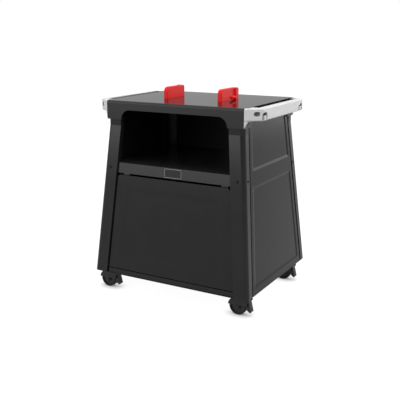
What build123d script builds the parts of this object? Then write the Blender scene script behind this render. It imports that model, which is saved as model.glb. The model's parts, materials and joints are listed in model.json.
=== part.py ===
from build123d import *
import os
from math import atan, cos

# Rolling grill stand: a flared sheet-metal cabinet with an open upper shelf, a drop-down door,
# two side rails that serve as handles, two griddle locks on top and four braked casters.
# Millimetres, origin on the floor under the middle of the cabinet, front towards -Y.

# Cabinet
TOP_Z = 832.0  # work surface above the floor
TOP_W = 636.0  # width over the headers
TOP_D = 488.0  # depth over the headers
BASE_W = 745.0  # width over the feet of the legs
BASE_D = 600.0  # depth over the feet of the legs
SHEET = 1.5  # top, headers, legs and base
PANEL = 1.0  # walls, shelf and door skin
FIT = 0.3  # play between neighbouring sheet pieces
EPS = 1.0  # overshoot of cutting tools

# Top and headers
EDGE_H = 10.0  # turned-down rim of the top
EDGE_R = 9.0  # rolled front and back edges
CORNER_R = 5.0
HEADER_WRAP = 64.0  # part of the header that turns onto the side
HEADER_H = 77.5  # from the work surface to the lower edge of the header
HEADER_LIP = 10.5  # turned-in edge of the arch
ARCH_W = 494.0
ARCH_H = 36.7  # from the work surface to the top of the opening
ARCH_R = 40.0

# Legs
LEG_FRONT = 64.0
LEG_SIDE = 42.0
LEG_LIP = 24.0  # return along the opening
LEG_R = 18.0
NECK_SET = 4.5  # upright part of the legs behind the face of the header
BEND_H = 103.0  # from the work surface to the bend in the legs

# Shelf and its front rail
SHELF_Z = 574.0  # upper face of the shelf
RAIL_H = 43.0
RAIL_DEPTH = 34.0
BRACKET_H = 40.0
BRACKET_T = 3.0

# Door
DOOR_SET = 8.0  # door, rail and toe board behind the faces of the legs
DOOR_GAP = 4.0
DOOR_DEPTH = 15.0
PULL_GAP = 8.5  # finger gap under the shelf rail
PULL_W = 406.0  # cut-out in the upper flange of the door
RELIEF = 6.0  # bend relief at the upper corners
TOE_H = 18.5
HINGE_IN = 8.0  # hinge axis behind the face of the door
HINGE_UP = 5.0  # hinge axis above the lower edge of the door
HINGE_R = 2.5
HINGE_HEAD_R = 4.5
HINGE_HEAD_H = 2.5
STOP_GAP = 0.3  # open door above the toe board
RUN_FIT = 0.05  # radial play of pins and shafts
DOOR_MARGIN = 46.0
DOOR_PRESS = 1.2
DOOR_SLOPE = 24.0
CATCH_W = 30.0
CATCH_H = 17.0
CATCH_D = 14.0
CATCH_INSET = 16.0  # catch from the edge of the finger cut-out

# Side and back walls
WALL_SET = 1.0  # side wall behind the faces of the legs
WALL_GAP = 9.0
WALL_DEPTH = 12.0
WALL_LAP = 5.0  # edge of the wall behind the leg
FIELD_MARGIN = 20.0
FIELD_PRESS = 2.5
FIELD_SLOPE = 10.0
FIELD_LOW = 26.0  # lower field above the base
BAND_LOW = 53.0  # band between the fields, down from the shelf
BAND_UP = 8.0  # and up from the shelf
FIELD_TOP = 32.0  # upper field below the work surface

# Side rails
BAR_OUT = 61.0  # rail beyond the side of the top
BAR_H = 48.0
BAR_SKIN = 6.0
BAR_EDGE_R = 5.0
BAR_KINK = 44.0  # depth of the slanting ends
BAR_KINK_R = 20.0
SLOT_W = 35.0  # handle slot beside the top
SLOT_END = 57.0  # and from the front and back of the top
SLOT_R = 9.0
HOOK_W = 37.0
HOOK_H = 29.0
HOOK_R = 12.0
HOOK_SILL = 3.0
HOOK_FRONT = 16.0  # hooks from the front and back kinks
HOOK_BACK = 30.0
TONGUE_W = 17.0
TONGUE_H = 17.0
OVAL_L = 25.0
OVAL_H = 17.0
OVAL_DROP = 21.0
OVAL_IN = 25.0  # oval holes from the kinks
GUSSET_L = 66.0
GUSSET_H = 28.0
GUSSET_T = 12.0
GUSSET_SLOT = 6.0

# Griddle locks
LOCK_X = 128.5
LOCK_Y = -13.0
LOCK_L = 140.0
LOCK_T = 20.0
LOCK_H = 50.0
LOCK_R = 20.0
LOCK_EDGE_R = 3.0
HORN_T = 8.0  # end post and ledge beyond the outer face
HORN_L = 27.0
LEDGE_L = 34.0
LEDGE_Z = 6.0
LEDGE_H = 8.0

# Screws
SCREW_R = 2.4
SCREW_HEAD_R = 5.0
SCREW_HEAD_H = 2.4
SCREW_L = 9.0
SCREW_FIT = 0.1

# Casters
CASTER_IN_X = 50.5  # swivel axis from the sides of the base
CASTER_IN_Y = 69.0  # and from its front and back
TRAIL = 21.0
WHEEL_R = 37.5
WHEEL_W = 28.0
TREAD_R = 3.5
HUB_R = 12.0
RIM_T = 8.0
WEB_CUT = 5.0
AXLE_R = 4.0
AXLE_HEAD_R = 6.5
AXLE_HEAD_H = 1.8
TREAD_GAP = 1.5  # hood over the tread
CHEEK_GAP = 1.2  # hood beside the wheel
CROWN_T = 2.0
CHEEK_T = 4.0
CHEEK_UP = 6.0  # lower edge of the cheeks above the axle
HEAD_R = 19.0
HEAD_H = 13.0
SWIVEL_GAP = 0.5
STEM_R = 5.5
STEM_L = 30.0  # stem inside the socket
SOCKET_R = 15.0
SOCKET_FLANGE_R = 21.0
SOCKET_FLANGE_T = 3.0
PEDAL_W = 24.0
PEDAL_CLEAR = 16.0  # pedal above the floor
PEDAL_REACH = 23.0  # toe beyond the tread
PEDAL_T = 4.5
PEDAL_DROP = 24.0  # pivot below the top of the caster
PEDAL_OUT = 7.5  # pivot beyond the tread
PIVOT_R = 3.0
EAR_R = 8.0
SHOE_GAP = 0.5
SHOE_H = 12.0

# Levels and lines that follow from these sizes
HOOD_R = WHEEL_R + TREAD_GAP + CROWN_T
BASE_Z = WHEEL_R + HOOD_R + HEAD_H
FOOT_Z = BASE_Z + SHEET
ROOF_Z = TOP_Z - SHEET
RIM_Z = TOP_Z - EDGE_H
HEADER_Z = TOP_Z - HEADER_H
NECK_TOP = TOP_Z - EDGE_R
BEND_Z = TOP_Z - BEND_H
BAR_Z = TOP_Z - BAR_H
FOOT_X = BASE_W / 2
FOOT_Y = BASE_D / 2
CASTER_X = FOOT_X - CASTER_IN_X
CASTER_Y = FOOT_Y - CASTER_IN_Y
NECK_X = TOP_W / 2 - SHEET
NECK_Y = TOP_D / 2 - NECK_SET
LEAN_X = (FOOT_X - NECK_X) / (BEND_Z - FOOT_Z)
LEAN_Y = (FOOT_Y - NECK_Y) / (BEND_Z - FOOT_Z)
RAIL_TOP = SHELF_Z - PANEL
RAIL_Z = RAIL_TOP - RAIL_H
DOOR_TOP = RAIL_Z - PULL_GAP
TOE_Z = FOOT_Z + TOE_H
HINGE_Z = TOE_Z + HINGE_IN * cos(atan(LEAN_Y)) + STOP_GAP
DOOR_Z = HINGE_Z - HINGE_UP
SCREW_Z = RAIL_TOP - RAIL_H / 2


def leg_x(z):
    """Outer side of the leaning legs at height z."""
    return FOOT_X - LEAN_X * (z - FOOT_Z)


def leg_y(z):
    """Outer front of the leaning legs at height z."""
    return FOOT_Y - LEAN_Y * (z - FOOT_Z)


def on_front(u, z, setback):
    """Point of the leaning front, u across, set back from the faces of the legs."""
    return (u, setback - leg_y(z), z)


def on_side(u, z, setback):
    """Point of the leaning right side, u towards the back."""
    return (leg_x(z) - setback, u, z)


def between(near, far):
    """Flat-sided solid between two outlines with matching corners."""
    rings = [make_face(Polyline(*ring, close=True)).face() for ring in (near, far)]
    for i in range(len(near)):
        side = Polyline(near[i - 1], near[i], far[i], far[i - 1], close=True)
        rings.append(make_face(side).face())
    return Part(Solid(Shell(rings)).wrapped)


def slab(place, outline, setback, depth):
    """Sheet or block on a leaning wall: the outline is pairs (across, height)."""
    near = [place(u, z, setback) for u, z in outline]
    far = [place(u, z, setback + depth) for u, z in outline]
    return between(near, far)


def taper(half, low, high, inset=0.0):
    """Symmetric outline between two heights, drawn in by inset on all sides."""
    z0, z1 = low + inset, high - inset
    w0, w1 = half(z0) - inset, half(z1) - inset
    return [(-w0, z0), (w0, z0), (w1, z1), (-w1, z1)]


def pressed(skin, place, half, low, high, setback, press, slope):
    """Press a field with sloping edges into a sheet."""
    def pan(start):
        near = [place(u, z, start) for u, z in taper(half, low, high)]
        far = [place(u, z, start + press) for u, z in taper(half, low, high, slope)]
        return between(near, far)

    return skin + pan(setback + PANEL) - pan(setback)


def box(x, y, z):
    """Box from its three ranges."""
    size = [b - a for a, b in (x, y, z)]
    centre = [(a + b) / 2 for a, b in (x, y, z)]
    return Pos(*centre) * Box(*size)


def rod(radius, start, end):
    """Round bar between two points."""
    start, end = Vector(*start), Vector(*end)
    plane = Plane(origin=start, z_dir=end - start)
    return extrude(plane * Circle(radius), amount=(end - start).length)


def screw(length):
    """Pan-head screw along Z with the underside of its head at the origin."""
    head = extrude(Circle(SCREW_HEAD_R), amount=SCREW_HEAD_H)
    head = fillet(head.edges().group_by(Axis.Z)[-1], SCREW_HEAD_H * 0.6)
    return head + extrude(Circle(SCREW_R), amount=-length)


def screw_hole(length):
    """Clearance for the shank of such a screw."""
    shank = Circle(SCREW_R + SCREW_FIT)
    return extrude(shank, amount=-length) + extrude(shank, amount=EPS)


def left_of(piece):
    return mirror(piece, Plane.YZ)


def back_of(piece):
    return mirror(piece, Plane.XZ)


def corners(piece):
    """The four copies of a piece of the front right corner."""
    return [piece, left_of(piece), back_of(piece), back_of(left_of(piece))]


def save(name, *pieces):
    solids = [solid for piece in pieces for solid in piece.solids()]
    export_step(Compound(children=solids) if len(solids) > 1 else solids[0], f"parts/{name}.step")


# Places of the screws at the front right corner
FRONT_SCREW = Plane(
    origin=(leg_x(SCREW_Z) - LEG_FRONT / 2, -leg_y(SCREW_Z), SCREW_Z),
    z_dir=(0, -1, LEAN_Y),
)
SIDE_SCREW = Plane(
    origin=(leg_x(SCREW_Z), -leg_y(SCREW_Z) + (LEG_SIDE + LEG_R) / 2, SCREW_Z),
    z_dir=(1, 0, LEAN_X),
)
BAR_SCREW = Plane(
    origin=(TOP_W / 2 + BAR_SKIN, -TOP_D / 2 + HEADER_WRAP / 2, BAR_Z + BAR_H / 3),
    z_dir=(1, 0, 0),
)
HINGE_X = leg_x(HINGE_Z) - LEG_FRONT
HINGE_Y = DOOR_SET + HINGE_IN - leg_y(HINGE_Z)


def leg():
    """Folded leg of the front right corner: it leans, then stands upright in the header."""
    outer = Rectangle(LEG_FRONT, LEG_SIDE, align=(Align.MAX, Align.MIN))
    inner = Pos(-SHEET, SHEET) * Rectangle(LEG_FRONT - 2 * SHEET, LEG_SIDE, align=(Align.MAX, Align.MIN))
    corner = outer.vertices().sort_by(Axis.X)[-2:].sort_by(Axis.Y)[0]
    outer = fillet(corner, LEG_R)
    corner = inner.vertices().sort_by(Axis.X)[-2:].sort_by(Axis.Y)[0]
    inner = fillet(corner, LEG_R - SHEET)
    beyond_lip = Pos(-LEG_FRONT, LEG_LIP) * Rectangle(SHEET + EPS, LEG_SIDE, align=(Align.MIN, Align.MIN))
    profile = outer - inner - beyond_lip
    rise = Vector(NECK_X - FOOT_X, FOOT_Y - NECK_Y, BEND_Z - FOOT_Z)
    lower = extrude(Pos(FOOT_X, -FOOT_Y, FOOT_Z) * profile, amount=rise.length, dir=rise.normalized())
    upper = extrude(Pos(NECK_X, -NECK_Y, BEND_Z) * profile, amount=NECK_TOP - BEND_Z)
    folded = lower + upper
    for plane in (FRONT_SCREW, SIDE_SCREW, BAR_SCREW):
        folded -= plane.location * screw_hole(SCREW_L + BAR_SKIN)
    return folded


def shelf_bracket():
    """Angle inside a leg, with a seat for the corner of the shelf."""
    reach_x, reach_y = LEG_FRONT - 2 * SHEET - FIT, LEG_SIDE - WALL_LAP - SHEET - FIT
    outer = Rectangle(reach_x, reach_y, align=(Align.MAX, Align.MIN))
    outer = fillet(outer.vertices().sort_by(Axis.X)[-2:].sort_by(Axis.Y)[0], LEG_R)
    arms = outer - Pos(-BRACKET_T, BRACKET_T) * Rectangle(reach_x, reach_y, align=(Align.MAX, Align.MIN))
    rise = Vector(-LEAN_X, LEAN_Y, 1)

    def lift(face, low, high):
        spot = Pos(leg_x(low) - SHEET, SHEET - leg_y(low), low)
        return extrude(spot * face, amount=rise.length * (high - low), dir=rise.normalized())

    angle = lift(arms, RAIL_TOP - BRACKET_H, RAIL_TOP - BRACKET_T)
    angle += lift(outer, RAIL_TOP - BRACKET_T, RAIL_TOP)
    for plane in (FRONT_SCREW, SIDE_SCREW):
        angle -= plane.location * screw_hole(SCREW_L + BAR_SKIN)
    return angle


def header():
    """Front header: a folded sheet with an arch, lips along its lower edge and turned-in sides."""
    half, face = TOP_W / 2, TOP_D / 2

    def fold(inset):
        plan = Rectangle(TOP_W - 2 * inset, HEADER_WRAP, align=(Align.CENTER, Align.MIN))
        plan = fillet(plan.vertices().sort_by(Axis.Y)[:2], CORNER_R - inset)
        return Pos(0, inset - face) * plan

    plane = Plane(origin=(0, -face, 0), x_dir=(1, 0, 0), z_dir=(0, -1, 0))
    outline = Pos(0, HEADER_Z) * Rectangle(TOP_W, RIM_Z - HEADER_Z, align=(Align.CENTER, Align.MIN))
    arch = Pos(0, TOP_Z - ARCH_H) * Rectangle(ARCH_W, HEADER_H, align=(Align.CENTER, Align.MAX))
    arch = fillet(arch.vertices().sort_by(Axis.Y)[-2:], ARCH_R)
    front = extrude(Pos(0, 0, HEADER_Z) * (fold(0) - fold(SHEET)), amount=RIM_Z - HEADER_Z)
    front -= extrude(plane * arch, amount=HEADER_LIP, both=True)
    front += extrude(plane * ((offset(arch, SHEET) - arch) & outline), amount=-HEADER_LIP)
    lip = box((ARCH_W / 2, half - CORNER_R), (SHEET - face, -NECK_Y), (HEADER_Z, HEADER_Z + SHEET))
    hole = BAR_SCREW.location * screw_hole(SCREW_L + BAR_SKIN)
    return front + lip + left_of(lip) - hole - left_of(hole)


def top_panel():
    """Work surface with rolled front and back edges and holes for the screws of the locks."""
    def shape(inset):
        section = Rectangle(TOP_D - 2 * inset, EDGE_H, align=(Align.CENTER, Align.MAX))
        section = fillet(section.vertices().sort_by(Axis.Y)[-2:], EDGE_R - inset)
        plane = Plane(origin=(inset - TOP_W / 2, 0, TOP_Z - inset), x_dir=(0, 1, 0), z_dir=(1, 0, 0))
        return extrude(plane * section, amount=TOP_W - 2 * inset)

    plan = Rectangle(TOP_W, TOP_D)
    plan = fillet(plan.vertices(), CORNER_R)
    sheet = shape(0) & extrude(Pos(0, 0, RIM_Z) * plan, amount=EDGE_H)
    sheet -= shape(SHEET)
    for spot in lock_screw_spots():
        sheet -= spot * extrude(Circle(SCREW_R + SCREW_FIT), amount=SHEET + EPS, both=True)
    return sheet


def base_panel():
    """Base plate with the toe board under the door and holes for the caster stems."""
    plate = box((-FOOT_X, FOOT_X), (-FOOT_Y, FOOT_Y), (BASE_Z, FOOT_Z))
    plate = fillet(plate.edges().filter_by(Axis.Z), LEG_R)
    plate += slab(on_front, taper(door_half, FOOT_Z, TOE_Z), DOOR_SET, SHEET)
    hole = rod(STEM_R + RUN_FIT, (CASTER_X, -CASTER_Y, BASE_Z - EPS), (CASTER_X, -CASTER_Y, FOOT_Z + EPS))
    for cut in corners(hole):
        plate -= cut
    return plate


def door_half(z):
    return leg_x(z) - LEG_FRONT - DOOR_GAP


def rail_half(z):
    return leg_x(z) - LEG_FRONT - FIT


def wall_half(z):
    return leg_y(z) - LEG_SIDE - WALL_GAP


def shelf_rail():
    """Channel across the front that carries the shelf."""
    block = slab(on_front, taper(rail_half, RAIL_Z, RAIL_TOP), DOOR_SET, RAIL_DEPTH)
    wide = taper(lambda z: FOOT_X, RAIL_Z + PANEL, RAIL_TOP - PANEL)
    return block - slab(on_front, wide, DOOR_SET + PANEL, RAIL_DEPTH)


def shelf_panel():
    """Shelf that steps round the legs and lies on the rail and the four brackets."""
    half_x, half_y = leg_x(SHELF_Z), leg_y(SHELF_Z)
    narrow = half_x - LEG_FRONT - FIT
    wide = half_x - WALL_SET - WALL_DEPTH - FIT
    step = half_y - LEG_LIP - FIT
    front = half_y - DOOR_SET
    back = half_y - DOOR_SET - WALL_DEPTH - FIT
    sheet = box((-narrow, narrow), (-front, back), (RAIL_TOP, SHELF_Z))
    return sheet + box((-wide, wide), (-step, step), (RAIL_TOP, SHELF_Z))


def side_wall():
    """Right wall with two pressed fields and edges that lap behind the legs."""
    skin = slab(on_side, taper(wall_half, FOOT_Z, ROOF_Z), WALL_SET, WALL_DEPTH)
    room = taper(lambda z: wall_half(z) - PANEL, FOOT_Z - EPS, ROOF_Z + EPS)
    skin -= slab(on_side, room, WALL_SET + PANEL, WALL_DEPTH)
    inner = WALL_SET + WALL_DEPTH - PANEL
    lap = taper(lambda z: wall_half(z) + WALL_GAP + WALL_LAP, FOOT_Z, ROOF_Z)
    skin += slab(on_side, lap, inner, PANEL) - slab(on_side, room, inner - EPS, PANEL + 2 * EPS)

    def field(z):
        return wall_half(z) - FIELD_MARGIN

    for low, high in (
        (FOOT_Z + FIELD_LOW, SHELF_Z - BAND_LOW),
        (SHELF_Z + BAND_UP, TOP_Z - FIELD_TOP),
    ):
        skin = pressed(skin, on_side, field, low, high, WALL_SET, FIELD_PRESS, FIELD_SLOPE)
    return skin


def back_wall():
    """Wall between the rear legs, with returns along them."""
    skin = slab(on_front, taper(rail_half, FOOT_Z, ROOF_Z), DOOR_SET, WALL_DEPTH)
    room = taper(lambda z: rail_half(z) - PANEL, FOOT_Z - EPS, ROOF_Z + EPS)
    return back_of(skin - slab(on_front, room, DOOR_SET + PANEL, WALL_DEPTH))


def door_panel():
    """Drop-down door: a folded tray with a shallow field and a finger cut-out in its top flange."""
    tray = slab(on_front, taper(door_half, DOOR_Z, DOOR_TOP), DOOR_SET, DOOR_DEPTH)
    tray -= slab(on_front, taper(door_half, DOOR_Z, DOOR_TOP, PANEL), DOOR_SET + PANEL, DOOR_DEPTH)

    def field(z):
        return door_half(z) - DOOR_MARGIN

    low, high = DOOR_Z + DOOR_MARGIN, DOOR_TOP - DOOR_MARGIN
    tray = pressed(tray, on_front, field, low, high, DOOR_SET, DOOR_PRESS, DOOR_SLOPE)
    pull = taper(lambda z: PULL_W / 2, DOOR_TOP - 2 * PANEL, DOOR_TOP + EPS)
    tray -= slab(on_front, pull, DOOR_SET + PANEL, DOOR_DEPTH)
    edge = door_half(DOOR_TOP)
    notch = box((edge - RELIEF, edge + RELIEF), (-FOOT_Y, 0), (DOOR_TOP - RELIEF, DOOR_TOP + EPS))
    bore = rod(HINGE_R + RUN_FIT, (HINGE_X - 2 * DOOR_GAP, HINGE_Y, HINGE_Z), (HINGE_X, HINGE_Y, HINGE_Z))
    for cut in (notch, bore):
        tray -= cut + left_of(cut)
    return tray


def hinge_pin():
    """Shouldered pin from the lip of the right leg into the side of the door."""
    slant = LEAN_X * HINGE_HEAD_R + FIT
    inner = HINGE_X + SHEET + slant
    pin = rod(HINGE_R, (HINGE_X - DOOR_GAP - 2 * PANEL, HINGE_Y, HINGE_Z), (inner, HINGE_Y, HINGE_Z))
    pin += rod(HINGE_HEAD_R, (inner, HINGE_Y, HINGE_Z), (inner + HINGE_HEAD_H, HINGE_Y, HINGE_Z))
    shoulder = (HINGE_X - DOOR_GAP + slant, HINGE_Y, HINGE_Z)
    return pin + rod(HINGE_HEAD_R, shoulder, (HINGE_X - slant, HINGE_Y, HINGE_Z))


def catch(low, high, setback, depth):
    """Block or plate of the right-hand door catch."""
    near = PULL_W / 2 + CATCH_INSET
    outline = [(near, low), (near + CATCH_W, low), (near + CATCH_W, high), (near, high)]
    return slab(on_front, outline, setback, depth)


def side_rail():
    """Right side rail: a moulded bar, hollow from below, with a handle slot, hooks and gussets."""
    near, far = TOP_W / 2, TOP_W / 2 + BAR_OUT
    front = -TOP_D / 2
    kink = front + BAR_KINK
    plan = make_face(Polyline((near, front), (far, kink), (far, -kink), (near, -front), close=True))
    plan = fillet(plan.vertices().group_by(Axis.X)[-1], BAR_KINK_R)
    bar = extrude(Pos(0, 0, BAR_Z) * plan, amount=BAR_H)
    rims = bar.edges().group_by(Axis.Z)
    bar = fillet([e for e in rims[0] + rims[-1] if e.center().X > near + FIT], BAR_EDGE_R)

    slot_x, slot_y = near + SLOT_W, -front - SLOT_END
    slot = box((near - EPS, slot_x), (-slot_y, slot_y), (BAR_Z - EPS, TOP_Z + EPS))
    bar -= fillet(slot.edges().filter_by(Axis.Z).group_by(Axis.X)[-1], SLOT_R)
    room = offset(plan, -BAR_SKIN) - Rectangle(2 * (slot_x + BAR_SKIN), 2 * (slot_y + BAR_SKIN))
    bar -= extrude(Pos(0, 0, BAR_Z - EPS) * room, amount=BAR_H - BAR_SKIN + EPS)

    window = Rectangle(HOOK_W, HOOK_H, align=(Align.CENTER, Align.MIN))
    window = fillet(window.vertices().sort_by(Axis.Y)[-2:], HOOK_R)
    window -= Rectangle(TONGUE_W, TONGUE_H, align=(Align.CENTER, Align.MIN))
    plane = Plane(origin=(far - 3 * BAR_SKIN, 0, BAR_Z + HOOK_SILL), x_dir=(0, 1, 0), z_dir=(1, 0, 0))
    hook = extrude(plane * window, amount=4 * BAR_SKIN)
    for spot in (kink + HOOK_FRONT, -kink - HOOK_BACK):
        bar -= Pos(0, spot, 0) * hook

    outward = Vector(BAR_KINK, -BAR_OUT, 0).normalized()
    along = Vector(BAR_OUT, BAR_KINK, 0).normalized()
    middle = Vector(far, kink, TOP_Z - OVAL_DROP) - along * OVAL_IN - outward * 2 * BAR_SKIN
    oval = Plane(origin=middle, x_dir=along, z_dir=outward) * SlotOverall(OVAL_L, OVAL_H)
    foot = gusset(near, front) & extrude(Pos(0, 0, BAR_Z - GUSSET_H) * plan, amount=GUSSET_H)
    bar += foot + back_of(foot)
    hole = BAR_SCREW.location * screw_hole(SCREW_L + BAR_SKIN)
    for cut in (extrude(oval, amount=3 * BAR_SKIN), hole):
        bar -= cut + back_of(cut)
    return bar


def gusset(near, front):
    """Curved foot below the front end of the rail, with two slanting slots."""
    top, low = BAR_Z, BAR_Z - GUSSET_H
    bow = GUSSET_T * 0.3
    curve = ThreePointArc((near + GUSSET_T, top), (near + bow, top - GUSSET_H * 0.55), (near, low))
    edges = Line((near, low), (near, top)) + Line((near, top), (near + GUSSET_T, top)) + curve
    plane = Plane(origin=(0, front, 0), x_dir=(1, 0, 0), z_dir=(0, -1, 0))
    foot = extrude(plane * make_face(edges), amount=-GUSSET_L)
    side = Plane(origin=(near - EPS, 0, 0), x_dir=(0, 1, 0), z_dir=(1, 0, 0))
    tip = front + GUSSET_L
    below = Polyline((tip + EPS, top), (tip + EPS, low - EPS), (front + GUSSET_L / 4, low - EPS), close=True)
    foot -= extrude(side * make_face(below), amount=GUSSET_T + 2 * EPS)
    for start in (front + GUSSET_L / 3, front + GUSSET_L / 2):
        lean = GUSSET_H * 0.8
        cut = Polyline(
            (start - lean, low), (start, top - BAR_SKIN), (start + GUSSET_SLOT, top - BAR_SKIN),
            (start + GUSSET_SLOT - lean, low), close=True,
        )
        foot -= extrude(side * make_face(cut), amount=GUSSET_T + 2 * EPS)
    return foot


def lock_screw_spots():
    """Two screw places under each lock, on the underside of the top."""
    reach = LOCK_L / 3
    return [
        Pos(side * LOCK_X, LOCK_Y + shift, ROOF_Z)
        for side in (-1, 1)
        for shift in (-reach, reach)
    ]


def griddle_lock():
    """Right lock: an upright grip with one rounded end, an end post and a low ledge outside."""
    low, high = -LOCK_L / 2, LOCK_L / 2
    outline = Pos(0, LOCK_H / 2) * Rectangle(LOCK_L, LOCK_H)
    upper = outline.vertices().sort_by(Axis.Y)[-2:].sort_by(Axis.X)
    outline = fillet(upper[0], LOCK_R)
    plane = Plane(origin=(-LOCK_T / 2, 0, 0), x_dir=(0, 1, 0), z_dir=(1, 0, 0))
    grip = extrude(plane * outline, amount=LOCK_T)
    outside = LOCK_T / 2 + HORN_T
    grip += box((0, outside), (high - HORN_L, high), (0, LOCK_H))
    grip += box((0, outside), (high - HORN_L - LEDGE_L, high), (LEDGE_Z, LEDGE_Z + LEDGE_H))
    rim = grip.edges().filter_by(lambda e: e.center().Z > LOCK_H - LOCK_R * 1.1)
    grip = fillet(rim, LOCK_EDGE_R)
    lock = Pos(LOCK_X, LOCK_Y, TOP_Z) * grip
    for spot in lock_screw_spots():
        lock -= spot * extrude(Circle(SCREW_R + SCREW_FIT), amount=SCREW_L + SHEET + EPS)
    return lock


def caster_fork():
    """Hooded fork with a swivel head and ears for the pedal, swivel axis on Z."""
    width = WHEEL_W + 2 * CHEEK_GAP + 2 * CHEEK_T
    room_w = width - 2 * CHEEK_T
    axle_z, limb = WHEEL_R, WHEEL_R - TRAIL
    pivot = (limb + PEDAL_OUT, BASE_Z - PEDAL_DROP)
    sill = axle_z + CHEEK_UP
    side = Plane(origin=(0, width / 2, 0), x_dir=(1, 0, 0), z_dir=(0, -1, 0))
    shade = Pos(-TRAIL, axle_z) * Circle(HOOD_R)
    shade -= Pos(-TRAIL, sill) * Rectangle(3 * HOOD_R, 2 * HOOD_R, align=(Align.CENTER, Align.MAX))
    shade += Pos(-TRAIL, axle_z) * Circle(AXLE_HEAD_R + CHEEK_T)
    shade += Pos(*pivot) * Circle(EAR_R)
    shade += Pos(0, sill) * Rectangle(pivot[0], pivot[1] + EAR_R - sill, align=(Align.MIN, Align.MIN))
    fork = extrude(side * shade, amount=width)
    fork += rod(HEAD_R, (0, 0, sill), (0, 0, BASE_Z - SWIVEL_GAP))
    wheel_room = Pos(-TRAIL, 0, axle_z) * Rot(90, 0, 0) * Cylinder(WHEEL_R + TREAD_GAP, room_w)
    fork -= wheel_room
    reach = pivot[0] + EAR_R + EPS
    fork -= box((0, reach), (-room_w / 2, room_w / 2), (0, pivot[1] + EAR_R))
    fork -= rod(STEM_R + RUN_FIT, (0, 0, axle_z), (0, 0, BASE_Z))
    fork -= rod(AXLE_R + RUN_FIT, (-TRAIL, -width, axle_z), (-TRAIL, width, axle_z))
    fork -= rod(PIVOT_R + RUN_FIT, (pivot[0], -width, pivot[1]), (pivot[0], width, pivot[1]))
    return fork


def caster_wheel():
    """Wheel with a rounded tread, dished sides and a bored hub."""
    half = WHEEL_W / 2
    bore = AXLE_R + RUN_FIT
    section = Pos(bore, 0) * Rectangle(WHEEL_R - bore, WHEEL_W, align=(Align.MIN, Align.CENTER))
    section = fillet(section.vertices().sort_by(Axis.X)[-2:], TREAD_R)
    dish = Pos(HUB_R, half) * Rectangle(
        WHEEL_R - RIM_T - HUB_R, 2 * WEB_CUT, align=(Align.MIN, Align.CENTER)
    )
    section -= dish + mirror(dish, Plane.XZ)
    return Pos(-TRAIL, 0, WHEEL_R) * revolve(section, Axis.Y)


def caster_axle():
    """Riveted axle through the cheeks and the hub."""
    half = WHEEL_W / 2 + CHEEK_GAP + CHEEK_T
    axle = rod(AXLE_R, (-TRAIL, -half, WHEEL_R), (-TRAIL, half, WHEEL_R))
    for end in (-1, 1):
        start = (-TRAIL, end * half, WHEEL_R)
        axle += rod(AXLE_HEAD_R, start, (-TRAIL, end * (half + AXLE_HEAD_H), WHEEL_R))
    return axle


def caster_stem():
    """Stem from the swivel head into the socket."""
    return rod(STEM_R, (0, 0, BASE_Z - HEAD_H), (0, 0, FOOT_Z + STEM_L))


def caster_pedal():
    """Brake pedal: a wedge that hangs from its pivot with a shoe on the tread and a toe outside."""
    limb = WHEEL_R - TRAIL
    pivot_x, pivot_z = limb + PEDAL_OUT, BASE_Z - PEDAL_DROP
    inner = limb + SHOE_GAP + PEDAL_T
    toe = limb + PEDAL_REACH
    side = Plane(origin=(0, PEDAL_W / 2, 0), x_dir=(1, 0, 0), z_dir=(0, -1, 0))
    outline = make_face(Polyline(
        (inner - PEDAL_T / 2, pivot_z), (inner, PEDAL_CLEAR + PEDAL_T * 2), (toe - PEDAL_T, PEDAL_CLEAR),
        (toe, PEDAL_CLEAR + PEDAL_T), (pivot_x + PEDAL_T, pivot_z), close=True,
    ))
    outline += Pos(pivot_x, pivot_z) * Circle(PIVOT_R + PEDAL_T / 2)
    shoe_low = WHEEL_R - SHOE_H / 2
    outline += Pos(limb + SHOE_GAP, shoe_low) * Rectangle(
        PEDAL_T * 2, SHOE_H, align=(Align.MIN, Align.MIN)
    )
    pedal = extrude(side * outline, amount=PEDAL_W)
    half = WHEEL_W / 2 + CHEEK_GAP + CHEEK_T
    return pedal + rod(PIVOT_R, (pivot_x, -half, pivot_z), (pivot_x, half, pivot_z))


def caster_socket():
    """Flanged socket on the base plate for the stem."""
    socket = rod(SOCKET_R, (0, 0, FOOT_Z), (0, 0, FOOT_Z + STEM_L))
    socket += rod(SOCKET_FLANGE_R, (0, 0, FOOT_Z), (0, 0, FOOT_Z + SOCKET_FLANGE_T))
    return socket - rod(STEM_R + RUN_FIT, (0, 0, BASE_Z), (0, 0, FOOT_Z + STEM_L + EPS))


os.makedirs("parts", exist_ok=True)

# Top, headers and legs
save("top_panel", top_panel())
front_header = header()
save("front_header", front_header)
save("rear_header", back_of(front_header))
rear_leg = leg()
lip_bore = rod(HINGE_R + RUN_FIT, (HINGE_X - EPS, HINGE_Y, HINGE_Z), (HINGE_X + 2 * SHEET, HINGE_Y, HINGE_Z))
front_leg = rear_leg - lip_bore
save("leg_front_right", front_leg)
save("leg_front_left", left_of(front_leg))
save("leg_rear_right", back_of(rear_leg))
save("leg_rear_left", back_of(left_of(rear_leg)))

# Walls, base and shelf
right_wall = side_wall()
save("side_panel_right", right_wall)
save("side_panel_left", left_of(right_wall))
save("back_panel", back_wall())
save("base_panel", base_panel())
save("shelf_rail", shelf_rail())
save("shelf_panel", shelf_panel())
save("shelf_brackets", *corners(shelf_bracket()))
outside = [plane.location * screw(SCREW_L) for plane in (FRONT_SCREW, SIDE_SCREW)]
save("leg_screws", *[piece for one in outside for piece in corners(one)])

# Door with its hinge pins and catches
save("door_panel", door_panel())
right_pin = hinge_pin()
save("hinge_pins", right_pin, left_of(right_pin))
behind = DOOR_SET + DOOR_DEPTH
strike = catch(DOOR_TOP - CATCH_H, DOOR_TOP, behind, PANEL)
save("door_strikes", strike, left_of(strike))
magnet = catch(DOOR_TOP - CATCH_H, RAIL_Z, behind + PANEL + FIT, CATCH_D)
save("door_magnets", magnet, left_of(magnet))

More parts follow.
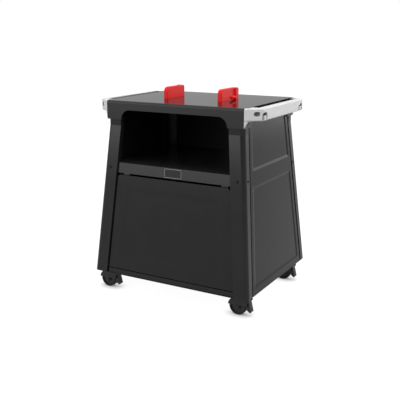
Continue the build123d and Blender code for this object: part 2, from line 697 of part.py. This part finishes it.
# Side rails and griddle locks
right_rail = side_rail()
save("side_rail_right", right_rail)
save("side_rail_left", left_of(right_rail))
save("rail_screws", *corners(BAR_SCREW.location * screw(SCREW_L)))
right_lock = griddle_lock()
save("griddle_lock_right", right_lock)
save("griddle_lock_left", left_of(right_lock))
save("lock_screws", *[spot * Rot(180, 0, 0) * screw(SCREW_L) for spot in lock_screw_spots()])

# Casters, all trailing the same way
sockets = []
for name, spot in (
    ("front_right", Pos(CASTER_X, -CASTER_Y, 0)),
    ("front_left", Pos(-CASTER_X, -CASTER_Y, 0)),
    ("rear_right", Pos(CASTER_X, CASTER_Y, 0)),
    ("rear_left", Pos(-CASTER_X, CASTER_Y, 0)),
):
    save(f"caster_fork_{name}", spot * caster_fork())
    save(f"caster_stem_{name}", spot * caster_stem())
    save(f"caster_axle_{name}", spot * caster_axle())
    save(f"caster_wheel_{name}", spot * caster_wheel())
    save(f"caster_pedal_{name}", spot * caster_pedal())
    sockets.append(spot * caster_socket())
save("caster_sockets", *sockets)
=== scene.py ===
import json
from math import cos, pi, radians, sin

import bmesh
import bpy
from mathutils import Matrix, Vector


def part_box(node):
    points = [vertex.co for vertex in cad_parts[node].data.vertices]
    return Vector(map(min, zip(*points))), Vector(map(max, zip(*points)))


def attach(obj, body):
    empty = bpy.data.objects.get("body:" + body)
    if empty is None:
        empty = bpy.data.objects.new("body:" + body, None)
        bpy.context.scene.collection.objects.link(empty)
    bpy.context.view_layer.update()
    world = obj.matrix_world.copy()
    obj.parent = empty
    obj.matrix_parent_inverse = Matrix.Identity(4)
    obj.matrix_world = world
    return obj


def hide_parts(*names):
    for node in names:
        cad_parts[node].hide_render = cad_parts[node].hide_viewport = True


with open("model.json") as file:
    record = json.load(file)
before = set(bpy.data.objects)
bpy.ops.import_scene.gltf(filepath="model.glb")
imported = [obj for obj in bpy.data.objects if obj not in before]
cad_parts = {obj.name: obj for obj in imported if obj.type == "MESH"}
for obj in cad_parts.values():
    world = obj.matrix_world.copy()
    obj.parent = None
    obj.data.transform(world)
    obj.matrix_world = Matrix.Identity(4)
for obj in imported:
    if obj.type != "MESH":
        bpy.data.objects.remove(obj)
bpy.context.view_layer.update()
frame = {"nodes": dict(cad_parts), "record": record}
scene = bpy.context.scene

# Lengths are in metres, and colours are linear

PAINT = (0.012, 0.012, 0.0122)
BLACK = (0.006, 0.006, 0.0062)
WHITE = (1, 1, 1, 1)


# Material helpers


def new_material(name):
    material = bpy.data.materials.new(name)
    material.use_nodes = True
    tree = material.node_tree
    return material, tree, tree.nodes["Principled BSDF"]


def place(tree, scale=(1, 1, 1), shift=(0, 0, 0)):
    """Object coordinates, stretched for grain that runs one way, or from a point of their own."""
    coords = tree.nodes.new("ShaderNodeTexCoord")
    mapping = tree.nodes.new("ShaderNodeMapping")
    mapping.inputs["Scale"].default_value = scale
    mapping.inputs["Location"].default_value = shift
    tree.links.new(coords.outputs["Object"], mapping.inputs["Vector"])
    return mapping.outputs["Vector"]


def by_axis(tree):
    """Object coordinates, one output for each axis."""
    split = tree.nodes.new("ShaderNodeSeparateXYZ")
    tree.links.new(place(tree), split.inputs["Vector"])
    return split.outputs


def noise(tree, vector, scale, detail):
    node = tree.nodes.new("ShaderNodeTexNoise")
    node.inputs["Scale"].default_value = scale
    node.inputs["Detail"].default_value = detail
    node.inputs["Roughness"].default_value = 0.55
    tree.links.new(vector, node.inputs["Vector"])
    return node.outputs["Fac"]


def ramp(tree, value, stops):
    node = tree.nodes.new("ShaderNodeValToRGB")
    elements = node.color_ramp.elements
    while len(elements) < len(stops):
        elements.new(0.5)
    for element, (at, colour) in zip(elements, stops):
        element.position = at
        element.color = (*colour, 1)
    tree.links.new(value, node.inputs["Fac"])
    return node.outputs["Color"]


def spread(tree, value, low, high, from_low=0.3, from_high=0.7):
    """Value stretched to a new range. Without other limits, the old one is the usual range of noise."""
    node = tree.nodes.new("ShaderNodeMapRange")
    node.inputs["From Min"].default_value = from_low
    node.inputs["From Max"].default_value = from_high
    node.inputs["To Min"].default_value = low
    node.inputs["To Max"].default_value = high
    tree.links.new(value, node.inputs["Value"])
    return node.outputs["Result"]


def bump(tree, height, distance, normal):
    node = tree.nodes.new("ShaderNodeBump")
    node.inputs["Strength"].default_value = 0.5
    node.inputs["Distance"].default_value = distance
    tree.links.new(height, node.inputs["Height"])
    tree.links.new(normal, node.inputs["Normal"])
    return node.outputs["Normal"]


def soft_edges(tree, radius):
    node = tree.nodes.new("ShaderNodeBevel")
    node.samples = 6
    node.inputs["Radius"].default_value = radius
    return node.outputs["Normal"]


def math_node(tree, operation, first, second=0.5):
    """Result of one operation on numbers or sockets. An operation on one value leaves the second unused."""
    node = tree.nodes.new("ShaderNodeMath")
    node.operation = operation
    for socket, value in zip(node.inputs, (first, second)):
        if isinstance(value, float):
            socket.default_value = value
        else:
            tree.links.new(value, socket)
    return node.outputs["Value"]


def length(tree, vector):
    node = tree.nodes.new("ShaderNodeVectorMath")
    node.operation = "LENGTH"
    tree.links.new(vector, node.inputs[0])
    return node.outputs["Value"]


def shade(colour, k):
    return tuple(min(1.0, c * k) for c in colour)


def surface(name, colour, rough, vary=0.12, grain=700.0, peel=0.00006, bend=0.0012, metal=0.0, ior=1.5,
            stretch=(1, 1, 1)):
    """Finish with a slow change of tone, a fine grain and softly rounded edges."""
    material, tree, bsdf = new_material(name)
    tone = noise(tree, place(tree), 9.0, 4.0)
    stops = [(0.3, shade(colour, 1 - vary)), (0.7, shade(colour, 1 + vary))]
    tree.links.new(ramp(tree, tone, stops), bsdf.inputs["Base Color"])
    fine = noise(tree, place(tree, stretch), grain, 2.0)
    tree.links.new(spread(tree, fine, rough * 0.88, rough * 1.12), bsdf.inputs["Roughness"])
    tree.links.new(bump(tree, fine, peel, soft_edges(tree, bend)), bsdf.inputs["Normal"])
    bsdf.inputs["Metallic"].default_value = metal
    bsdf.inputs["IOR"].default_value = ior
    return material


# Looks of the CAD nodes

# Painted shade in the slots of the rails and along the edge of the top: distances across and along from the
# middle, and the share of black
HANDLE_SLOT_SHADE = (
    (0.3535, 0.1875, 0.68),  # outer wall of the handle slot
    (0.3515, 0.1875, 1.0),  # its inner wall and ends
    (0.3275, 0.226, 1.0),  # edge of the top, on beyond the slot
)
# Slots of the gussets, shown as stripes of painted shade: how they slant, the level they end at, their
# middles and half their width
GUSSET_SLANT, GUSSET_TOP = 1.0182, 0.7785
GUSSET_SLOTS, GUSSET_SLOT_HALF = (1.01116, 1.00016), 0.0034

WHEEL_R, TREAD_FROM, TREAD_TO = 0.0375, 0.026, 0.031
TOP_EDGE_Y, TOP_EDGE_ROUGH, TOP_EDGE_BLEND = 0.2355, 0.6, 0.0001


def slot_shade_painted(material):
    """Painted shade: black on the walls of the slots, dark stripes on the gusset slots, and black along the
    edge of the top beyond the handle slots.
    """
    tree = material.node_tree
    socket = tree.nodes["Principled BSDF"].inputs["Base Color"]
    at = by_axis(tree)
    across, along = (math_node(tree, "ABSOLUTE", at[axis]) for axis in "XY")
    # Mask of the painted shade, in part or in full black
    painted_shade = 0.0
    for x, y, share in HANDLE_SLOT_SHADE:
        inside = [math_node(tree, "LESS_THAN", *limit) for limit in ((across, x), (along, y))]
        zone = math_node(tree, "MULTIPLY", math_node(tree, "MULTIPLY", *inside), share)
        painted_shade = math_node(tree, "MAXIMUM", zone, painted_shade)
    slanting = math_node(tree, "ADD", along, math_node(tree, "MULTIPLY", at["Z"], GUSSET_SLANT))
    below = math_node(tree, "LESS_THAN", at["Z"], GUSSET_TOP)
    for middle in GUSSET_SLOTS:
        aside = math_node(tree, "ABSOLUTE", math_node(tree, "SUBTRACT", slanting, middle))
        inside = math_node(tree, "LESS_THAN", aside, GUSSET_SLOT_HALF)
        painted_shade = math_node(tree, "MAXIMUM", math_node(tree, "MULTIPLY", inside, below), painted_shade)
    mix = tree.nodes.new("ShaderNodeMix")
    mix.data_type = "RGBA"
    tree.links.new(painted_shade, mix.inputs["Factor"])
    tree.links.new(socket.links[0].from_socket, mix.inputs["A"])
    mix.inputs["B"].default_value = (*BLACK, 1)
    tree.links.new(mix.outputs["Result"], socket)
    return material


def wheel_look(name, x, z):
    """Moulded hub and web with a duller tread, by the distance from the axle. The web is painted lighter, as
    painted light that offsets the shade in its recess.
    """
    material, tree, bsdf = new_material(name)
    radius = length(tree, place(tree, (1, 0, 1), (-x, 0, -z)))
    # Painted light: the web is lighter than hub and tread, to offset the shade that falls in its recess
    hub, web, tread = (shade(PAINT, k) for k in (1.4, 2.6, 1.6))
    zones = [(0.0, hub), (0.3, hub), (0.36, web), (0.74, web), (0.8, tread)]
    tree.links.new(ramp(tree, spread(tree, radius, 0, 1, 0, WHEEL_R), zones), bsdf.inputs["Base Color"])
    fine = noise(tree, place(tree), 900, 2.0)
    dull = spread(tree, radius, 0.42, 0.6, TREAD_FROM, TREAD_TO)
    grain = spread(tree, fine, -0.05, 0.05)
    tree.links.new(math_node(tree, "ADD", dull, grain), bsdf.inputs["Roughness"])
    tree.links.new(bump(tree, fine, 0.0001, soft_edges(tree, 0.001)), bsdf.inputs["Normal"])
    bsdf.inputs["IOR"].default_value = 1.25
    return material


def dull_edged(material):
    """Duller finish on the rolled front and back edges of the top."""
    tree = material.node_tree
    socket = tree.nodes["Principled BSDF"].inputs["Roughness"]
    along = math_node(tree, "ABSOLUTE", by_axis(tree)["Y"])
    edge = spread(tree, along, 0.0, TOP_EDGE_ROUGH, TOP_EDGE_Y, TOP_EDGE_Y + TOP_EDGE_BLEND)
    tree.links.new(math_node(tree, "MAXIMUM", socket.links[0].from_socket, edge), socket)
    return material


def sheet_paint(name, rough, ior, colour=PAINT, bend=0.0005):
    """Smooth dark paint of the sheet metal."""
    return surface(name, colour, rough, peel=0.00001, bend=bend, ior=ior)


looks = {
    "top_paint": dull_edged(surface("top_enamel", BLACK, 0.07, grain=240, peel=0.00001)),
    "frame_paint": sheet_paint("frame_paint", 0.2, 1.28),
    "panel_paint": sheet_paint("panel_paint", 0.22, 1.165, (0.015, 0.015, 0.0152), 0.0008),
    "door_paint": sheet_paint("door_paint", 0.22, 1.26, bend=0.0008),
    # Rail plastic, with painted shade in its slots and along the edge of the top
    "rail_plastic": slot_shade_painted(
        surface("rail_plastic", (0.6, 0.6, 0.605), 0.42, vary=0.03, grain=1100, bend=0.0015)),
    "lock_plastic": surface(
        "lock_plastic", (0.68, 0.016, 0.018), 0.36, vary=0.05, grain=900, bend=0.0015, ior=1.18),
    "screw_steel": surface("screw_black", (0.004, 0.004, 0.0042), 0.4, grain=1500, bend=0.0005, ior=1.2),
    "zinc": surface(
        "zinc_plate", (0.5, 0.5, 0.52), 0.32, grain=300, bend=0.0005, metal=1.0, stretch=(1, 1, 6)),
    "catch_plastic": surface("catch_plastic", (0.015, 0.015, 0.016), 0.45, grain=1200),
    "caster_plastic": surface("caster_plastic", shade(PAINT, 1.3), 0.4, grain=1200, bend=0.001, ior=1.3),
    "tread_rubber": surface("tread_rubber", BLACK, 0.6, grain=900, peel=0.00012, ior=1.15),
}
rear_leg_paint = sheet_paint("rear_leg_paint", 0.38, 1.28)
header_paint = sheet_paint("header_paint", 0.22, 1.33)
own_look = {
    "front_header": header_paint,
    "rear_header": header_paint,
    "leg_rear_right": rear_leg_paint,
    "leg_rear_left": rear_leg_paint,
    "shelf_rail": sheet_paint("shelf_rail_paint", 0.22, 1.39),
}
for corner in ("front_right", "front_left", "rear_right", "rear_left"):
    low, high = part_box(f"caster_wheel_{corner}")
    axle_x, axle_z = ((low[axis] + high[axis]) / 2 for axis in (0, 2))
    own_look[f"caster_wheel_{corner}"] = wheel_look(f"wheel_{corner}", axle_x, axle_z)
    own_look[f"caster_axle_{corner}"] = looks["caster_plastic"]
for part in frame["record"]["subparts"]:
    node = frame["nodes"][part["node"]]
    node.data.materials.clear()
    node.data.materials.append(own_look.get(part["node"], looks[part["material_slot"]]))


# Mesh helpers


def mesh_object(name, bm, material):
    mesh = bpy.data.meshes.new(name)
    bm.to_mesh(mesh)
    bm.free()
    mesh.materials.append(material)
    obj = bpy.data.objects.new(name, mesh)
    scene.collection.objects.link(obj)
    return obj


def standing(spot, normal):
    """Frame at a spot, with Z along the normal and Y upwards."""
    out = Vector(normal).normalized()
    across = Vector((0, 0, 1)).cross(out).normalized()
    matrix = Matrix((across, out.cross(across), out)).transposed().to_4x4()
    matrix.translation = Vector(spot)
    return matrix


def skin(bm, rings):
    """Faces between neighbouring rings."""
    for near, far in zip(rings, rings[1:]):
        for i in range(len(near)):
            bm.faces.new((near[i - 1], near[i], far[i], far[i - 1]))


def capped(bm, rings):
    """Faces between neighbouring rings, and one on each end."""
    skin(bm, rings)
    for ring in (rings[0], rings[-1]):
        bm.faces.new(ring)


def rounded(bm, matrix, width, height, radius, lift):
    """Ring of points round a rectangle with rounded corners."""
    steps = 6
    ring = []
    for i in range(4):
        x = (width / 2 - radius) * (1 if i in (0, 3) else -1)
        y = (height / 2 - radius) * (1 if i in (0, 1) else -1)
        for k in range(steps + 1):
            turn = (i + k / steps) * pi / 2
            point = Vector((x + radius * cos(turn), y + radius * sin(turn), lift))
            ring.append(bm.verts.new(matrix @ point))
    return ring


def circle(bm, matrix, radius, lift):
    turns = [i * pi / 12 for i in range(24)]
    return [bm.verts.new(matrix @ Vector((radius * cos(a), radius * sin(a), lift))) for a in turns]


# Badge plate on the shelf rail: a bare plate with a raised rim, both given by insets and lifts

LEAN_X, LEAN_Y = 0.08805, 0.09513
RAIL_Z = 0.5515
BADGE_X, BADGE_W, BADGE_H, BADGE_R = 0.005, 0.08, 0.036, 0.004
PLATE_STEPS = [(0.001, 0.0), (0.001, 0.001), (0.0014, 0.0013), (0.0024, 0.0013)]
RIM_STEPS = [
    (0.0, 0.0), (0.0, 0.0016), (0.0003, 0.0019), (0.0009, 0.0019), (0.0012, 0.0016), (0.0012, 0.0)]

rail_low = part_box("shelf_rail")[0]
rail_y = rail_low[1] + LEAN_Y * (RAIL_Z - rail_low[2])
on_rail = standing((BADGE_X, rail_y, RAIL_Z), (0, -1, LEAN_Y))


def badge_rings(bm, steps):
    return [rounded(bm, on_rail, BADGE_W - 2 * d, BADGE_H - 2 * d, BADGE_R - d, lift) for d, lift in steps]


plate_bm = bmesh.new()
capped(plate_bm, badge_rings(plate_bm, PLATE_STEPS))
bmesh.ops.recalc_face_normals(plate_bm, faces=plate_bm.faces)
plate_look = surface("badge_black", BLACK, 0.3, grain=1500, peel=0.00002, bend=0.0003, ior=1.3)
badge_plate = mesh_object("badge_plate", plate_bm, plate_look)

rim_bm = bmesh.new()
rim_rings = badge_rings(rim_bm, RIM_STEPS)
skin(rim_bm, rim_rings + rim_rings[:1])
bmesh.ops.recalc_face_normals(rim_bm, faces=rim_bm.faces)
rim_look = surface("badge_rim", (0.3, 0.3, 0.31), 0.35, grain=1500, bend=0.0003, metal=0.6)
badge_rim = mesh_object("badge_rim", rim_bm, rim_look)

for piece, slot in ((badge_plate, "frame_paint"), (badge_rim, "zinc")):
    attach(piece, "cabinet")


# Screws on the legs: pan heads with a cross recess, and a threaded shank with a point

THREAD_R, THREAD_CUT, THREAD_STEP, THREAD_RINGS = 0.0024, 0.0003, 0.0005, 18
SCREW_TIP = (0.0006, -0.009)
SCREW_DOME = [(0.0050, 0.0), (0.0050, 0.0009), (0.0046, 0.0017), (0.0038, 0.0022), (0.0030, 0.0024)]
# Arm, half width and lift, at the mouth and the floor of the recess
RECESS = ((0.0021, 0.0005, 0.0024), (0.0016, 0.0004, 0.0012))
# Places on the front right leg, and the ways that the two faces of the leg look
LEG_SCREWS = (
    ((0.30013, -0.25638), (0, -1, LEAN_Y)),
    ((0.33213, -0.22638), (1, 0, LEAN_X)),
)


def cross(bm, matrix, arm, half, lift):
    """Ring of points round a cross."""
    quarter = [(arm, -half), (arm, half), (half, half)]
    ring = []
    for i in range(4):
        turn = Matrix.Rotation(i * pi / 2, 4, "Z")
        ring += [bm.verts.new(matrix @ turn @ Vector((x, y, lift))) for x, y in quarter]
    return ring


def cross_screw(bm, matrix):
    last = THREAD_RINGS - 1
    thread = [(THREAD_R - THREAD_CUT * (i % 2), -THREAD_STEP * (last - i)) for i in range(THREAD_RINGS)]
    rings = [circle(bm, matrix, radius, lift) for radius, lift in [SCREW_TIP] + thread + SCREW_DOME]
    skin(bm, rings)
    bm.faces.new(rings[0][::-1])
    mouth, bottom = (cross(bm, matrix, *level) for level in RECESS)
    skin(bm, [mouth, bottom])
    bm.faces.new(bottom)
    rim = [bm.edges.get((ring[i - 1], ring[i])) for ring in (rings[-1], mouth) for i in range(len(ring))]
    bmesh.ops.triangle_fill(bm, use_beauty=True, edges=rim)


screw_bm = bmesh.new()
for (x, y), (across, ahead, rise) in LEG_SCREWS:
    for side in (1, -1):
        for end in (1, -1):
            out = (side * across, end * ahead, rise)
            cross_screw(screw_bm, standing((side * x, end * y, RAIL_Z), out))
bmesh.ops.recalc_face_normals(screw_bm, faces=screw_bm.faces)
leg_screw_set = mesh_object("leg_screw_set", screw_bm, looks["screw_steel"])
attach(leg_screw_set, "cabinet")
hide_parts("leg_screws")


# Griddle locks: a rounded grip, an end post and a knob on its outer side

LOCK_AT, LOCK_H, LOCK_HALF = (0.1285, -0.013, 0.832), 0.05, 0.07
# The grip ends just inside the post, and the post just above the top, so that no two faces are in one plane
GRIP_SHORT, POST_LIFT = 0.0006, 0.0003
GRIP = dict(ends=(-LOCK_HALF, LOCK_HALF - GRIP_SHORT), radii=(0.02, 0.01), levels=(0, LOCK_H - GRIP_SHORT),
            near=-0.01, far=0.01)
POST = dict(ends=(0.043, LOCK_HALF), radii=(0.006, 0.01), levels=(POST_LIFT, LOCK_H), near=0.0045, far=0.018)
KNOB_AT, KNOB_R, KNOB_L = (0.0115, 0.016, 0.0115), 0.0065, 0.045
RIM_R, RIM_MID = 0.003, 0.0009
SHARP_FROM = 0.6


def upright_ring(bm, matrix, ends, radii, levels, inset, x):
    """Ring round an upright plate, given by its ends, the radii of its upper corners and its levels."""
    steps = 8
    (front, back), (front_r, back_r), (foot, head) = ends, radii, levels
    points = [(front + inset, foot), (back - inset, foot)]
    for y, radius, start in ((back - back_r, back_r, 0), (front + front_r, front_r, pi / 2)):
        for k in range(steps + 1):
            turn = start + k * pi / (2 * steps)
            points.append((y + (radius - inset) * cos(turn), head - radius + (radius - inset) * sin(turn)))
    return [bm.verts.new(matrix @ Vector((x, y, z))) for y, z in points]


def upright_plate(bm, matrix, ends, radii, levels, near, far):
    """Plate with rounded rims between two distances from the middle of the lock."""
    steps = [(near, RIM_R), (near + RIM_MID, RIM_MID), (near + RIM_R, 0)]
    steps += [(far - RIM_R, 0), (far - RIM_MID, RIM_MID), (far, RIM_R)]
    capped(bm, [upright_ring(bm, matrix, ends, radii, levels, inset, x) for x, inset in steps])


def knob(bm, matrix):
    """Bar with a domed end, along Z."""
    steps = 7
    turns = [k * pi / (2 * steps) for k in range(steps)]
    dome = [(KNOB_R * cos(turn), KNOB_R * sin(turn)) for turn in turns]
    capped(bm, [circle(bm, matrix, radius, lift) for radius, lift in [(KNOB_R, -KNOB_L)] + dome])


def smooth_but_sharp(bm):
    """Smooth shading, except round the flat faces and at sharp edges."""
    for face in bm.faces:
        face.smooth = True
    for edge in bm.edges:
        flat = any(len(face.verts) > 4 for face in edge.link_faces)
        edge.smooth = not flat and edge.calc_face_angle(pi) < SHARP_FROM


for side, name in ((1, "right"), (-1, "left")):
    lock_bm = bmesh.new()
    stand = Matrix.Translation((side * LOCK_AT[0], *LOCK_AT[1:])) @ Matrix.Diagonal((side, 1, 1, 1))
    upright_plate(lock_bm, stand, **GRIP)
    upright_plate(lock_bm, stand, **POST)
    knob(lock_bm, stand @ Matrix.Translation(KNOB_AT) @ Matrix.Rotation(pi / 2, 4, "X"))
    bmesh.ops.recalc_face_normals(lock_bm, faces=lock_bm.faces)
    smooth_but_sharp(lock_bm)
    lock = mesh_object(f"lock_grip_{name}", lock_bm, looks["lock_plastic"])
    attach(lock, "cabinet")
    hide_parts(f"griddle_lock_{name}")


# Floor and sky

FLOOR_HALF, FLOOR_GREY, FLOOR_GLOW = 30, (0.2, 0.2, 0.2, 1), 0.95
# Reach and darkest level of the painted contact shadow under the feet
PAINTED_SHADOW_REACH, PAINTED_SHADOW_DARKEST = 0.05, 0.25
SKY_LIGHT, SKY_SEEN = 0.5, 1.0


def seen_directly(tree, otherwise, direct):
    """One strength for what the camera, a reflection or a clear piece shows, another for the light."""
    rays = tree.nodes.new("ShaderNodeLightPath")
    total = rays.outputs["Is Camera Ray"]
    for kind in ("Is Glossy Ray", "Is Transmission Ray"):
        total = math_node(tree, "MAXIMUM", total, rays.outputs[kind])
    return spread(tree, total, otherwise, direct, 0.0, 1.0)


floor_bm = bmesh.new()
bmesh.ops.create_grid(floor_bm, x_segments=1, y_segments=1, size=FLOOR_HALF)
floor_look, floor_tree, floor_bsdf = new_material("studio_floor")
floor_bsdf.inputs["Base Color"].default_value = FLOOR_GREY
floor_bsdf.inputs["Roughness"].default_value = 0.9
floor_bsdf.inputs["Specular IOR Level"].default_value = 0.0
floor_bsdf.inputs["Emission Color"].default_value = WHITE
glow = seen_directly(floor_tree, 0.0, FLOOR_GLOW)
# Painted contact shadow: ambient occlusion near the feet darkens the floor's glow
contact_occlusion = floor_tree.nodes.new("ShaderNodeAmbientOcclusion")
contact_occlusion.inputs["Distance"].default_value = PAINTED_SHADOW_REACH
painted_contact_shadow = spread(floor_tree, contact_occlusion.outputs["AO"], PAINTED_SHADOW_DARKEST, 1.0, 0.25, 0.95)
shaded_glow = math_node(floor_tree, "MULTIPLY", glow, painted_contact_shadow)
floor_tree.links.new(shaded_glow, floor_bsdf.inputs["Emission Strength"])
floor = mesh_object("floor", floor_bm, floor_look)

world = bpy.data.worlds.new("studio")
scene.world = world
world.use_nodes = True
sky = world.node_tree
background = sky.nodes["Background"]
background.inputs["Color"].default_value = WHITE
sky.links.new(seen_directly(sky, SKY_LIGHT, SKY_SEEN), background.inputs["Strength"])


# Grey band round the studio, which shows only in reflections, most of all in the gloss of the top

BAND_R, BAND_LOW, BAND_HIGH, BAND_SIDES, BAND_GLOW = 14, 1.2, 5.0, 48, 0.42

band_bm = bmesh.new()
band_turns = [i * pi / (BAND_SIDES / 2) for i in range(BAND_SIDES)]
skin(band_bm, [
    [band_bm.verts.new((BAND_R * cos(a), BAND_R * sin(a), level)) for a in band_turns]
    for level in (BAND_LOW, BAND_HIGH)
])
band_look, _, band_bsdf = new_material("studio_band")
band_bsdf.inputs["Base Color"].default_value = (0, 0, 0, 1)
band_bsdf.inputs["Emission Color"].default_value = WHITE
band_bsdf.inputs["Emission Strength"].default_value = BAND_GLOW
band = mesh_object("studio_band", band_bm, band_look)
band.visible_camera = False
band.visible_diffuse = False
band.visible_shadow = False


# Lamps and camera

FOCAL_PIXELS, PICTURE_PIXELS, SENSOR_MM = 686.95, 400, 36.0
CAMERA_AT, CAMERA_DOWN, CAMERA_ROLL, CAMERA_TURN = (1.4421, -2.5580, 1.1413), 14.42, 0.1, 29.56


def lamp(name, spot, target, size, power):
    light = bpy.data.lights.new(name, "AREA")
    light.shape = "RECTANGLE"
    light.size, light.size_y = size
    light.energy = power
    obj = bpy.data.objects.new(name, light)
    scene.collection.objects.link(obj)
    obj.location = spot
    obj.rotation_euler = (Vector(target) - Vector(spot)).to_track_quat("-Z", "Y").to_euler()
    obj.visible_camera = False
    return obj


lamp("front_left", (-2.3, -4.05, 1.6), (0, -0.2, 1.6), (3.6, 2.0), 88)
lamp("back_right", (2.15, 4.15, 1.45), (0.3, 0, 1.45), (3.0, 2.0), 44)
lamp("side", (3.2, -0.6, 2.0), (0.3, 0, 0.6), (1.5, 1.5), 44)
overhead = lamp("overhead", (0.1, -0.2, 3.2), (0.1, -0.2, 0), (2.4, 2.4), 57)
overhead.visible_glossy = False

camera_data = bpy.data.cameras.new("camera")
camera_data.sensor_width = SENSOR_MM
camera_data.lens = SENSOR_MM * FOCAL_PIXELS / PICTURE_PIXELS
camera = bpy.data.objects.new("camera", camera_data)
scene.collection.objects.link(camera)
camera.location = CAMERA_AT
camera.rotation_euler = (radians(90 - CAMERA_DOWN), radians(CAMERA_ROLL), radians(CAMERA_TURN))
scene.camera = camera
scene.view_settings.view_transform = "Standard"
